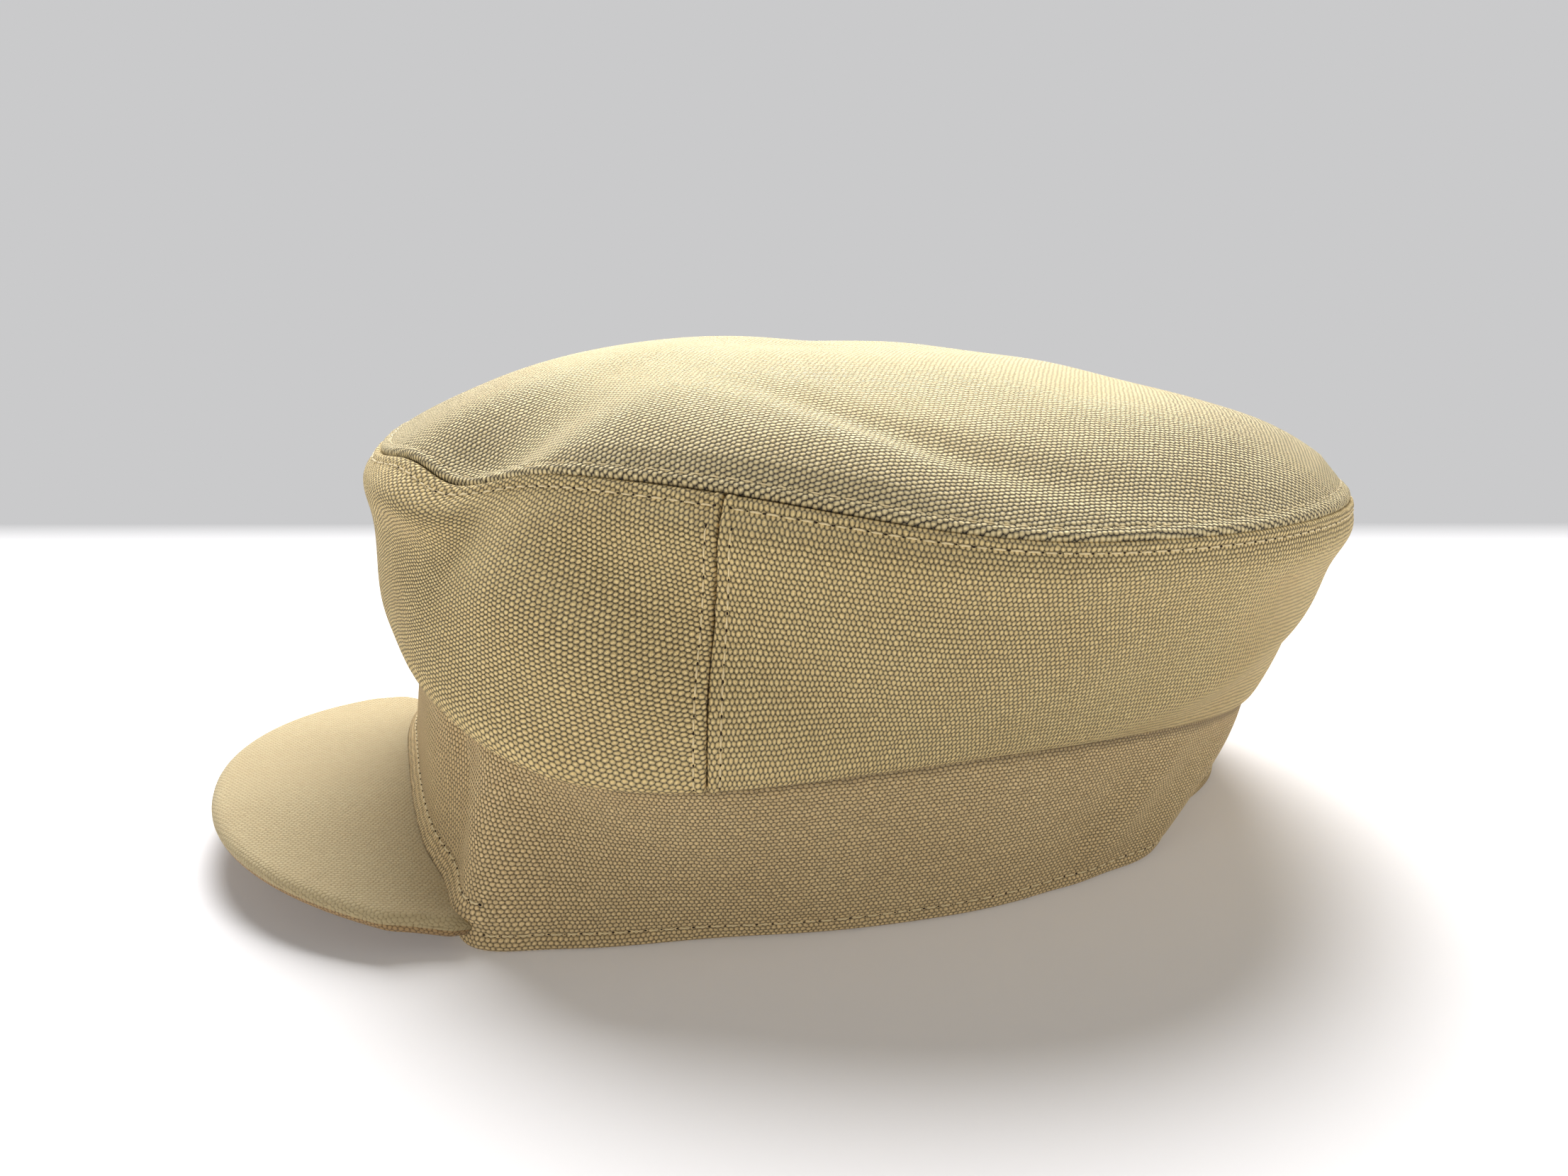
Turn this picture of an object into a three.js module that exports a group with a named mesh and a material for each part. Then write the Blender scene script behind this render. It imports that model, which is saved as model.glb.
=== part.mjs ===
// A peaked cap of stout cotton cloth, standing by itself on the hem of its band.
// A domed top panel is sewn to a front and a back crown panel, which meet in a seam at each side.
// The crown is sewn to a lower band, and a short stiffened peak is sewn to the front of the band.
// Millimetres, +Z up. The peak points along -Y and the wearer's left is +X.
// The origin lies on the surface that the cap stands on, under the middle of the whole cap.

import * as THREE from "three";
import { mergeVertices } from "three/addons/utils/BufferGeometryUtils.js";

// Thickness of the cloth walls, and the gap that sewn edges keep between them
const clothThickness = 2.0;
const seamGap = 0.3;

// The rings that the cloth hangs between. Each is a squared oval round a middle on the Y axis.
// Heights are given at its front, side and back, and as a rise halfway between those places.
const rings = {
  hem: {
    halfWidth: 79, front: 94.5, back: 108, squareFront: 4, squareBack: 1.95, middle: 0,
    zFront: 0, zSide: 0, zBack: 0, frontRise: 0, backRise: 0,
  },
  bandTop: {
    halfWidth: 83.5, front: 89.5, back: 114.3, squareFront: 3, squareBack: 1.95, middle: 0,
    zFront: 45, zSide: 34.3, zBack: 18.9, frontRise: -4.5, backRise: -0.9,
  },
  topSeam: {
    halfWidth: 102.5, front: 117.6, back: 107.1, squareFront: 1.92, squareBack: 2.04, middle: 19,
    zFront: 85.2, zSide: 77.5, zBack: 72, frontRise: 3.4, backRise: 0.6,
  },
};

// Angles run from the front towards the wearer's left. The side seams stand at these angles
// on the band's top and, a little further forward, on the seam round the top panel.
const sideSeamAtBand = 60;
const sideSeamAtTop = 51.9;

// The crown's lower edge rolls out over the band, most at the front, and its wall bellies.
const rollFront = 7.6;
const rollBack = 1.3;
const rollHeight = 0.035;
const belly = 3.2;
const shoulder = { height: 0.88, spread: 0.09, out: 2.2 };

// The dome of the top panel: its rise over the seam, fullness, and middle behind the band's
const dome = {
  rise: 25.8, fullFront: 2.85, fullBack: 2.95, middle: 9.6, base: 78.9, rimLand: 3.2,
  rimFree: 0.06, poleFree: 0.2, dentFade: 3,
};

// The peak: the front of an oval plate, cut off at the band's front corners and arched from side
// to side. Its inner edge seats on the band's wall a little over the hem.
const peak = {
  halfWidth: 78, ovalMiddle: -44.8, front: -137, square: 2.14, cornerX: 66.6, cornerAngle: 36,
  thickness: 4, zCorner: 6, zTip: 11, bevel: 1.3, cornerPull: 0.6, cornerShare: 0.9,
  overHem: 2.2, seatHeight: 0.1, seatSpread: 0.05,
};

// Under the peak the hem lifts off the surface in a low arch
const hemArch = 4;

// Dents pushed into the seam round the top panel. Angle and spread in degrees.
const seamDents = [
  { name: "flattened quarter", angle: 51, spread: 24, out: -8.7, up: 3.4 },
  { name: "straight run", angle: 12, spread: 6, out: -2.2, up: 1.2 },
  { name: "pinch", angle: 24.5, spread: 5, out: -3, up: -1.6 },
  { name: "dip in front of the pinch", angle: 18, spread: 4.2, out: -0.4, up: -3.7 },
  { name: "sagging front", angle: -4, spread: 12, out: -1.2, up: -0.9 },
  { name: "far corner", angle: -34, spread: 14, out: 1.2, up: 0 },
];

// Folds of each cloth wall. Height is a share of the wall's height, and slant is how many
// degrees the fold moves round for each share of the height.
const crownFolds = [
  { name: "groove under the pinch", angle: 29, height: 0.86, spread: 6, reach: 0.2, slant: 30, out: -3 },
  { name: "shelf in front of it", angle: 16, height: 0.82, spread: 9, reach: 0.11, slant: 40, out: 2.4 },
  { name: "front hollow", angle: 0, height: 0.5, spread: 24, reach: 0.2, slant: 0, out: -1.1 },
  { name: "front roll", angle: 43, height: 0.5, spread: 10, reach: 0.36, slant: -55, out: 2.6 },
  { name: "hollow behind it", angle: 55, height: 0.62, spread: 8, reach: 0.33, slant: -45, out: -2.4 },
  { name: "back crease", angle: 125, height: 0.25, spread: 9, reach: 0.24, slant: 70, out: 2.2 },
  { name: "back hollow", angle: 141, height: 0.3, spread: 9, reach: 0.28, slant: 60, out: -2 },
  { name: "far roll", angle: -42, height: 0.45, spread: 13, reach: 0.4, slant: 40, out: 2 },
  { name: "far hollow", angle: -60, height: 0.6, spread: 12, reach: 0.36, slant: 35, out: -1.8 },
  { name: "far back roll", angle: -128, height: 0.35, spread: 14, reach: 0.33, slant: -45, out: 1.8 },
];
const bandFolds = [
  { name: "front corner ridge", angle: 38, height: 0.2, spread: 5.5, reach: 0.75, slant: -3, out: 4.6 },
  { name: "hollow behind it", angle: 53, height: 0.3, spread: 10, reach: 0.75, slant: -16, out: -4 },
  { name: "side swell", angle: 98, height: 0, spread: 24, reach: 0.75, slant: 0, out: 2.4 },
  { name: "back ridge", angle: 136, height: 0.35, spread: 7, reach: 0.75, slant: 26, out: 2.2 },
  { name: "back recess", angle: 150, height: 0.3, spread: 8, reach: 0.75, slant: 24, out: -4.2 },
  { name: "far corner ridge", angle: -38, height: 0.2, spread: 6.5, reach: 0.75, slant: 3, out: 3.8 },
  { name: "far hollow", angle: -55, height: 0.3, spread: 12, reach: 0.75, slant: 12, out: -3 },
];
const topFolds = [
  { name: "groove from the pinch", angle: 23, height: 0.91, spread: 6, reach: 0.12, slant: -20, out: -3 },
  { name: "swell behind it", angle: 36, height: 0.86, spread: 8, reach: 0.13, slant: 0, out: 1.6 },
  { name: "first side swell", angle: 53, height: 0.9, spread: 7, reach: 0.1, slant: 0, out: 1.8 },
  { name: "second side swell", angle: 67, height: 0.9, spread: 6, reach: 0.1, slant: 0, out: 1.8 },
  { name: "slanting crease", angle: 79, height: 0.8, spread: 7, reach: 0.12, slant: 160, out: -1.6 },
  { name: "full back", angle: 158, height: 0.87, spread: 30, reach: 0.13, slant: 0, out: 3.6 },
];

// Folds die out towards the sewn edges: the power sets how near to the edge they reach
const crownFoldReach = 8;
const bandFoldReach = 6;

// Facets: columns round the cap, and rows as shares of each wall's height or of the dome's reach
const columnsRound = 96;
const peakColumns = 20;
const samePoint = 1e-4;
const bandRows = [0, 0.12, 0.4, 0.7, 1];
const crownRows = [0, 0.05, 0.13, 0.3, 0.5, 0.7, 0.87, 1];
const domeRows = [1, 0.93, 0.84, 0.7, 0.5, 0.25, 0];
const peakRows = [1, 0.95, 0.65, 0.35, 0];

const radians = THREE.MathUtils.degToRad;
const lerp = THREE.MathUtils.lerp;

function bump(distance, spread) {
  return Math.exp(-0.5 * (distance / spread) ** 2);
}

function angleBetween(angle, other) {
  return ((((angle - other + 180) % 360) + 360) % 360) - 180;
}

function outward(angle) {
  return new THREE.Vector3(Math.sin(radians(angle)), -Math.cos(radians(angle)), 0);
}

// The level direction square to a ring, out of the cap
function ringNormal(ring, angle) {
  const way = outward(angle);
  const reach = way.y < 0 ? ring.front : ring.back;
  const square = way.y < 0 ? ring.squareFront : ring.squareBack;
  const slope = (share, size) => (Math.sign(share) * (Math.abs(share) / size) ** (square - 1)) / size;
  return new THREE.Vector3(slope(way.x, ring.halfWidth), slope(way.y, reach), 0).normalize();
}

function bandNormal(angle, height) {
  return ringNormal(rings.hem, angle).lerp(ringNormal(rings.bandTop, angle), height).normalize();
}

function crownNormal(angleAtBand, angleAtTop, height) {
  const low = ringNormal(rings.bandTop, angleAtBand);
  return low.lerp(ringNormal(rings.topSeam, angleAtTop), height).normalize();
}

// How far all folds of a table push the cloth out at one place
function foldsAt(folds, angle, height) {
  let total = 0;
  for (const fold of folds) {
    const above = height - fold.height;
    const aside = angleBetween(angle, fold.angle + fold.slant * above);
    total += fold.out * bump(aside, fold.spread) * bump(above, fold.reach);
  }
  return total;
}

function ringPoint(ring, angle) {
  const along = Math.cos(radians(angle));
  const across = Math.abs(Math.sin(radians(angle)));
  const inFront = along > 0;
  const reach = inFront ? ring.front : ring.back;
  const square = inFront ? ring.squareFront : ring.squareBack;
  const spread = (across / ring.halfWidth) ** square + (Math.abs(along) / reach) ** square;
  const radius = spread ** (-1 / square);
  const endShare = ((Math.abs(along) * radius) / reach) ** square;
  const zEnd = inFront ? ring.zFront : ring.zBack;
  const rise = inFront ? ring.frontRise : ring.backRise;
  const point = outward(angle).multiplyScalar(radius);
  point.y += ring.middle;
  point.z = lerp(ring.zSide, zEnd, endShare) + rise * 4 * endShare * (1 - endShare);
  return point;
}

// The seam round the top panel, with its dents at full depth or at a share of it
function topSeamPoint(angle, dentShare = 1) {
  const point = ringPoint(rings.topSeam, angle);
  for (const dent of seamDents) {
    const share = dentShare * bump(angleBetween(angle, dent.angle), dent.spread);
    point.addScaledVector(outward(angle), dent.out * share);
    point.z += dent.up * share;
  }
  return point;
}

// Outer face of the band, from its hem at height 0 to the crown's seam at height 1
function bandPoint(angle, height) {
  const hem = ringPoint(rings.hem, angle);
  const fromFront = Math.min(1, Math.abs(angleBetween(angle, 0)) / peak.cornerAngle);
  hem.z += hemArch * (1 - fromFront ** 2) ** 2;
  const point = hem.lerp(ringPoint(rings.bandTop, angle), height);
  const free = 1 - height ** bandFoldReach;
  return point.addScaledVector(bandNormal(angle, height), free * foldsAt(bandFolds, angle, height));
}

// Outer face of the crown's wall, from the band at height 0 to the top seam at height 1
function crownPoint(angleAtBand, angleAtTop, height) {
  const low = ringPoint(rings.bandTop, angleAtBand);
  const high = topSeamPoint(angleAtTop);
  low.z += seamGap;
  high.z -= seamGap / 2;
  const frontShare = 0.5 + 0.5 * Math.cos(radians(angleAtBand));
  const roll = lerp(rollBack, rollFront, frontShare) * (1 - height);
  const free = 1 - (2 * height - 1) ** crownFoldReach;
  const out =
    roll * (1 - Math.exp(-height / rollHeight)) +
    belly * Math.sin(Math.PI * height) +
    shoulder.out * bump(height - shoulder.height, shoulder.spread) * free +
    foldsAt(crownFolds, angleAtBand, height) * free;
  return low.lerp(high, height).addScaledVector(crownNormal(angleAtBand, angleAtTop, height), out);
}

// Outer face of the top panel, from its seam at reach 1 to its middle at reach 0
function domePoint(angle, reach) {
  const seam = topSeamPoint(angle, reach ** dome.dentFade);
  const backShare = 0.5 - 0.5 * Math.cos(radians(angle));
  const fullness = lerp(dome.fullFront, dome.fullBack, backShare);
  const free = Math.min(1, (1 - reach) / dome.rimFree, reach / dome.poleFree);
  const z = lerp(dome.base, seam.z + seamGap / 2, reach) + dome.rise * (1 - reach ** fullness);
  return new THREE.Vector3(
    seam.x * reach,
    lerp(dome.middle, seam.y, reach),
    z + free * foldsAt(topFolds, angle, reach)
  );
}

// A closed body between an outer and an inner face, both given as rows of points.
// Rows run upwards or inwards, columns run from the front towards the wearer's left.
function clothBody(outer, inner, closesRound) {
  const corners = [];
  const face = (...points) => {
    for (let next = 1; next < points.length - 1; next += 1) {
      const triangle = [points[0], points[next], points[next + 1]];
      const repeats = triangle.some((point, at) => point.distanceTo(triangle[(at + 1) % 3]) < samePoint);
      if (!repeats) {
        triangle.forEach((point) => corners.push(point.x, point.y, point.z));
      }
    }
  };
  const rows = outer.length;
  const columns = outer[0].length;
  const spans = closesRound ? columns : columns - 1;
  for (let column = 0; column < spans; column += 1) {
    const next = (column + 1) % columns;
    for (let row = 0; row < rows - 1; row += 1) {
      face(outer[row][column], outer[row][next], outer[row + 1][next], outer[row + 1][column]);
      face(inner[row][column], inner[row + 1][column], inner[row + 1][next], inner[row][next]);
    }
    const last = rows - 1;
    face(outer[0][column], inner[0][column], inner[0][next], outer[0][next]);
    face(outer[last][column], outer[last][next], inner[last][next], inner[last][column]);
  }
  if (!closesRound) {
    const end = columns - 1;
    for (let row = 0; row < rows - 1; row += 1) {
      face(inner[row][0], outer[row][0], outer[row + 1][0], inner[row + 1][0]);
      face(inner[row][end], inner[row + 1][end], outer[row + 1][end], outer[row][end]);
    }
  }
  const geometry = new THREE.BufferGeometry();
  geometry.setAttribute("position", new THREE.Float32BufferAttribute(corners, 3));
  const merged = mergeVertices(geometry, samePoint);
  merged.computeVertexNormals();
  return merged;
}

function evenAngles(first, last, spans) {
  return Array.from({ length: spans + 1 }, (_, index) => lerp(first, last, index / spans));
}

// Columns all the way round, with a set number of spans between two corners at the front
function anglesRound(corner, frontSpans) {
  const back = evenAngles(corner, 360 - corner, columnsRound - frontSpans);
  return [...evenAngles(-corner, corner, frontSpans), ...back.slice(1, -1)];
}

function bandBody() {
  const angles = anglesRound(peak.cornerAngle, peakColumns);
  const layer = (depth) =>
    bandRows.map((height) =>
      angles.map((angle) => bandPoint(angle, height).addScaledVector(bandNormal(angle, height), -depth))
    );
  return clothBody(layer(0), layer(clothThickness), true);
}

// One crown panel between two side seams, each edge held back by half the seam's gap
function crownPanelBody(firstAtBand, lastAtBand, firstAtTop, lastAtTop) {
  const spans = Math.round(((lastAtBand - firstAtBand) / 360) * columnsRound);
  const trim = THREE.MathUtils.radToDeg(seamGap / 2 / rings.bandTop.halfWidth);
  const atBand = evenAngles(firstAtBand + trim, lastAtBand - trim, spans);
  const atTop = evenAngles(firstAtTop + trim, lastAtTop - trim, spans);
  const layer = (depth) =>
    crownRows.map((height) =>
      atBand.map((angle, column) => {
        const normal = crownNormal(angle, atTop[column], height);
        return crownPoint(angle, atTop[column], height).addScaledVector(normal, -depth);
      })
    );
  return clothBody(layer(0), layer(clothThickness), false);
}

function topPanelBody() {
  const angles = anglesRound(sideSeamAtTop, Math.round((sideSeamAtBand / 180) * columnsRound));
  const outer = domeRows.map((reach) => angles.map((angle) => domePoint(angle, reach)));
  const inner = domeRows.map((reach, row) =>
    angles.map((angle, column) => {
      if (row === 0) {
        const rim = outer[0][column];
        return rim.clone().addScaledVector(outward(angle), -dome.rimLand);
      }
      return domePoint(angle, reach).add(new THREE.Vector3(0, 0, -clothThickness));
    })
  );
  return clothBody(outer, inner, true);
}

// One face of the peak, from the band's wall at reach 0 to its rim at reach 1.
// Side is 1 for the upper face and -1 for the under face.
function peakPoint(angle, reach, side) {
  const share = angle / peak.cornerAngle;
  const seatHeight = peak.seatHeight + side * peak.seatSpread;
  const wall = bandPoint(angle, seatHeight).addScaledVector(bandNormal(angle, seatHeight), seamGap);
  wall.z = bandPoint(angle, 0).z + peak.overHem + peak.thickness / 2;
  const depth = peak.front - peak.ovalMiddle;
  const cornerSine = (peak.cornerX / peak.halfWidth) ** (peak.square / 2);
  const sine = Math.sin(share * Math.asin(cornerSine));
  const cosine = Math.sqrt(1 - sine ** 2);
  const rim = new THREE.Vector3(
    peak.halfWidth * Math.sign(sine) * Math.abs(sine) ** (2 / peak.square),
    peak.ovalMiddle + depth * cosine ** (2 / peak.square),
    lerp(peak.zTip, peak.zCorner, share ** 2)
  );
  const nearCorner = Math.max(0, Math.abs(share) - peak.cornerShare) / (1 - peak.cornerShare);
  rim.lerp(wall, peak.cornerPull * nearCorner);
  const bevel = reach === 1 ? peak.bevel : 0;
  const point = wall.lerp(rim, reach);
  point.z += side * (peak.thickness / 2 - bevel);
  return point;
}

function peakBody() {
  const angles = evenAngles(-peak.cornerAngle, peak.cornerAngle, peakColumns);
  const layer = (side) => peakRows.map((reach) => angles.map((angle) => peakPoint(angle, reach, side)));
  return clothBody(layer(1), layer(-1), false);
}

const cloths = {
  top: { color: 0xd6c999, roughness: 0.92, metalness: 0 },
  crown: { color: 0xc6b582, roughness: 0.92, metalness: 0 },
  band: { color: 0xb8a474, roughness: 0.92, metalness: 0 },
  peak: { color: 0xd0c094, roughness: 0.9, metalness: 0 },
};

function sewnPiece(name, geometry, cloth) {
  const mesh = new THREE.Mesh(geometry, new THREE.MeshStandardMaterial(cloth));
  mesh.name = name;
  return mesh;
}

const cap = new THREE.Group();
cap.name = "peaked_cap";
cap.add(sewnPiece("crown_top", topPanelBody(), cloths.top));
cap.add(
  sewnPiece(
    "crown_front",
    crownPanelBody(-sideSeamAtBand, sideSeamAtBand, -sideSeamAtTop, sideSeamAtTop),
    cloths.crown
  )
);
cap.add(
  sewnPiece(
    "crown_back",
    crownPanelBody(sideSeamAtBand, 360 - sideSeamAtBand, sideSeamAtTop, 360 - sideSeamAtTop),
    cloths.crown
  )
);
cap.add(sewnPiece("band", bandBody(), cloths.band));
cap.add(sewnPiece("peak", peakBody(), cloths.peak));

// Centre the cap over the origin
const middle = new THREE.Box3().setFromObject(cap).getCenter(new THREE.Vector3());
cap.position.set(-middle.x, -middle.y, 0);

export default cap;
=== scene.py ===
import math

import bpy
import numpy as np
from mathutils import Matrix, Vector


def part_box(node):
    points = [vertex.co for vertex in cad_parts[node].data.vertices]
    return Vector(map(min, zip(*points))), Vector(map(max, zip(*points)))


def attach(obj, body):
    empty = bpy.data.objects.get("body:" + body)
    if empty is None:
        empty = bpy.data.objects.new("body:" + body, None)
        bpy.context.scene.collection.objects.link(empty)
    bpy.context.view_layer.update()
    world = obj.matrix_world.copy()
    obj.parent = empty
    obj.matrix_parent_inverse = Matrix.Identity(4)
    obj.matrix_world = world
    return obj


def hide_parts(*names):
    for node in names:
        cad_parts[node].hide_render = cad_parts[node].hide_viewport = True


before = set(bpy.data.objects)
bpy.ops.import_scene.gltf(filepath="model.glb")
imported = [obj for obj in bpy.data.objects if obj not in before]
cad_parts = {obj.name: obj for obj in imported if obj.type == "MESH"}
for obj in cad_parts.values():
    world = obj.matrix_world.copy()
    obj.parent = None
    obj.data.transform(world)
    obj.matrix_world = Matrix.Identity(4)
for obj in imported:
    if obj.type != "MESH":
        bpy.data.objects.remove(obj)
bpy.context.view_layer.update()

# The walls of the crown: a front and a back panel of stout khaki cotton duck, joined by a
# topstitched seam at each side. They flare out to the seam round the top panel, and their
# lower edge rolls out and hangs a little over the band, most of all at the front.

# Squared ovals that the cloth hangs between, in millimetres, with their heights at the front, the
# side and the back, and their rise halfway between those places
BAND_TOP = dict(half_width=83.5, front=89.5, back=114.3, square_front=3, square_back=1.95,
                middle=0, z_front=45, z_side=34.3, z_back=18.9, front_rise=-4.5, back_rise=-0.9)
TOP_SEAM = dict(half_width=102.5, front=117.6, back=107.1, square_front=1.92, square_back=2.04,
                middle=19, z_front=85.2, z_side=77.5, z_back=72, front_rise=3.4, back_rise=0.6)
HEM = dict(half_width=79, front=94.5, back=108, square_front=4, square_back=1.95,
           middle=0, z_front=0, z_side=0, z_back=0, front_rise=0, back_rise=0)

# Angles run from the front towards the wearer's left, in degrees
SIDE_SEAM_AT_BAND = 60
SIDE_SEAM_AT_TOP = 51.9
SEAM_GAP = 0.3
CLOTH = 2.0

# The wall's lower edge rolls out and droops over the band, its middle bellies, and it has a
# shoulder near the top. Heights and spreads are shares of the wall's height.
ROLL_FRONT, ROLL_BACK = 7.6, 1.3
ROLL_HEIGHT = 0.035
ROLL_HEIGHT_INSIDE = 0.12
DROOP_FRONT, DROOP_BACK = 2.5, 0.5
DROOP_HEIGHT = 0.03
BELLY = 3.2
SHOULDER = dict(height=0.88, spread=0.09, out=2.2)
WALL_LENGTH = 54
FRONT_GRAIN_TURN = math.radians(15)

# Dents in the seam round the top panel, and folds of the wall. A fold's height and reach are
# shares of the wall's height, and its slant is in degrees for the whole height.
SEAM_DENTS = [
    dict(at=51, spread=24, out=-8.7, up=3.4),  # flattened quarter
    dict(at=12, spread=6, out=-2.2, up=1.2),  # straight run
    dict(at=24.5, spread=5, out=-3, up=-1.6),  # pinch
    dict(at=18, spread=4.2, out=-0.4, up=-3.7),  # dip in front of the pinch
    dict(at=-4, spread=12, out=-1.2, up=-0.9),  # sagging front
    dict(at=-34, spread=14, out=1.2, up=0),  # far corner
]
CROWN_FOLDS = [
    dict(at=29, height=0.86, spread=6, reach=0.2, slant=30, out=-3),  # groove under the pinch
    dict(at=16, height=0.82, spread=9, reach=0.11, slant=40, out=2.4),  # shelf in front of it
    dict(at=0, height=0.5, spread=24, reach=0.2, slant=0, out=-1.1),  # front hollow
    dict(at=43, height=0.5, spread=10, reach=0.36, slant=-55, out=2.6),  # front roll
    dict(at=55, height=0.62, spread=8, reach=0.33, slant=-45, out=-2.4),  # hollow behind it
    dict(at=125, height=0.25, spread=9, reach=0.24, slant=70, out=2.2),  # back crease
    dict(at=141, height=0.3, spread=9, reach=0.28, slant=60, out=-2),  # back hollow
    dict(at=-42, height=0.45, spread=13, reach=0.4, slant=40, out=2),  # far roll
    dict(at=-60, height=0.6, spread=12, reach=0.36, slant=35, out=-1.8),  # far hollow
    dict(at=-128, height=0.35, spread=14, reach=0.33, slant=-45, out=1.8),  # far back roll
]

# The folds die out towards the wall's two sewn edges, closer to them with a higher power
CROWN_FOLD_POWER = 8

# The cap's own millimetres are counted from the middle of its ovals, on the surface it stands on,
# and the frame tells where that point is in metres
MM = 0.001
band_low, band_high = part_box("band")
CAP_MIDDLE = np.array([
    (band_low.x + band_high.x) / 2,
    band_low.y + HEM["front"] * MM,
    0,
])


def bump(distance, spread):
    return np.exp(-0.5 * (distance / spread) ** 2)


def outward(angle):
    turn = np.radians(angle)
    return np.stack([np.sin(turn), -np.cos(turn), 0 * turn], -1)


def ring_point(ring, angle):
    """Points of a squared oval round the cap, in millimetres."""
    way = outward(angle)
    across = np.abs(way[..., 0])
    along = np.abs(way[..., 1])
    in_front = way[..., 1] < 0
    reach = np.where(in_front, ring["front"], ring["back"])
    square = np.where(in_front, ring["square_front"], ring["square_back"])
    radius = ((across / ring["half_width"]) ** square + (along / reach) ** square) ** (-1 / square)
    end_share = (along * radius / reach) ** square
    z_end = np.where(in_front, ring["z_front"], ring["z_back"])
    rise = np.where(in_front, ring["front_rise"], ring["back_rise"])
    point = way * radius[..., None]
    point[..., 1] += ring["middle"]
    point[..., 2] = ring["z_side"] + (z_end - ring["z_side"]) * end_share
    point[..., 2] += rise * 4 * end_share * (1 - end_share)
    return point


def ring_normal(ring, angle):
    """The level direction square to a ring, out of the cap."""
    way = outward(angle)
    in_front = way[..., 1] < 0
    reach = np.where(in_front, ring["front"], ring["back"])
    power = np.where(in_front, ring["square_front"], ring["square_back"]) - 1
    half_width = ring["half_width"]
    side = np.sign(way[..., 0]) * (np.abs(way[..., 0]) / half_width) ** power / half_width
    end = np.sign(way[..., 1]) * (np.abs(way[..., 1]) / reach) ** power / reach
    return unit(np.stack([side, end, 0 * side], -1))


def unit(vectors):
    return vectors / np.linalg.norm(vectors, axis=-1, keepdims=True)


def folds_at(folds, angle, height):
    """How far all folds of a table push the cloth out."""
    total = 0
    for fold in folds:
        above = height - fold["height"]
        aside = (angle - fold["at"] - fold["slant"] * above + 180) % 360 - 180
        total = total + fold["out"] * bump(aside, fold["spread"]) * bump(above, fold["reach"])
    return total


def top_seam_point(angle, dent_share=1):
    """The seam round the top panel, with its dents at full depth or at a share of it."""
    point = ring_point(TOP_SEAM, angle)
    for dent in SEAM_DENTS:
        share = dent_share * bump((angle - dent["at"] + 180) % 360 - 180, dent["spread"])
        point = point + outward(angle) * (dent["out"] * share)[..., None]
        point[..., 2] += dent["up"] * share
    return point


# A stitch row runs beside each seam. A seam's turn is how deep its edge turns in, and over what
# distance. The turnings pad the cloth and the stitches draw it down by shares of that depth.
TOPSTITCH = 2.4
TOP_SEAM_TURN = (1.2, 0.22)
SIDE_SEAM_TURN = (1.35, 0.17)
PADDED = dict(share=0.2, at=1.2, spread=0.6)
DRAWN_DOWN = dict(share=0.14, spread=0.4)


def seam_turn(distance, depth, width):
    """How far cloth stands out beside a sewn edge. It turns in at the edge, the turnings beneath
    it pad it, and the stitch row draws it down."""
    turned_in = -depth * np.exp(-distance / width)
    padded = PADDED["share"] * depth * bump(distance - PADDED["at"], PADDED["spread"])
    drawn_down = -DRAWN_DOWN["share"] * depth * bump(distance - TOPSTITCH, DRAWN_DOWN["spread"])
    return turned_in + padded + drawn_down


WAVE_SEED = 7
WAVES = 9
wave_draw = np.random.default_rng(WAVE_SEED)


def soft_waves(across, up, longest, shortest):
    """Slight unevenness of hand-shaped cloth from a few crossing waves, about 1 high in all."""
    total = 0 * (across + up)
    for _ in range(WAVES):
        length = wave_draw.uniform(shortest, longest)
        turn = wave_draw.uniform(0, math.pi)
        start = wave_draw.uniform(0, 2 * math.pi)
        along = across * math.cos(turn) + up * math.sin(turn)
        total = total + np.sin(2 * math.pi * along / length + start)
    return total / WAVES ** 0.5


EDGE_CROWDING = 1.6


def graded(length, step, margin=7.0, fine=16):
    """Distances across a cloth, closer together beside both of its edges."""
    beside_edge = margin * (np.arange(fine) / fine) ** EDGE_CROWDING
    middle = np.linspace(margin, length - margin, round((length - 2 * margin) / step) + 1)
    return np.concatenate([beside_edge, middle, length - beside_edge[::-1]])


def face_normals(points, closed):
    """Outward directions of a grid of points whose rows run up or in, columns towards the left."""
    if closed:
        along = np.roll(points, -1, 1) - np.roll(points, 1, 1)
    else:
        along = np.gradient(points, axis=1)
    return unit(np.cross(along, np.gradient(points, axis=0)))


def arc_lengths(line):
    steps = np.linalg.norm(np.diff(line, axis=0), axis=-1)
    return np.concatenate([[0], np.cumsum(steps)])


def quads_between(first, second):
    """Faces between two lines or grids of point numbers."""
    return np.stack([first[..., :-1], first[..., 1:], second[..., 1:], second[..., :-1]], -1)


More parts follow.
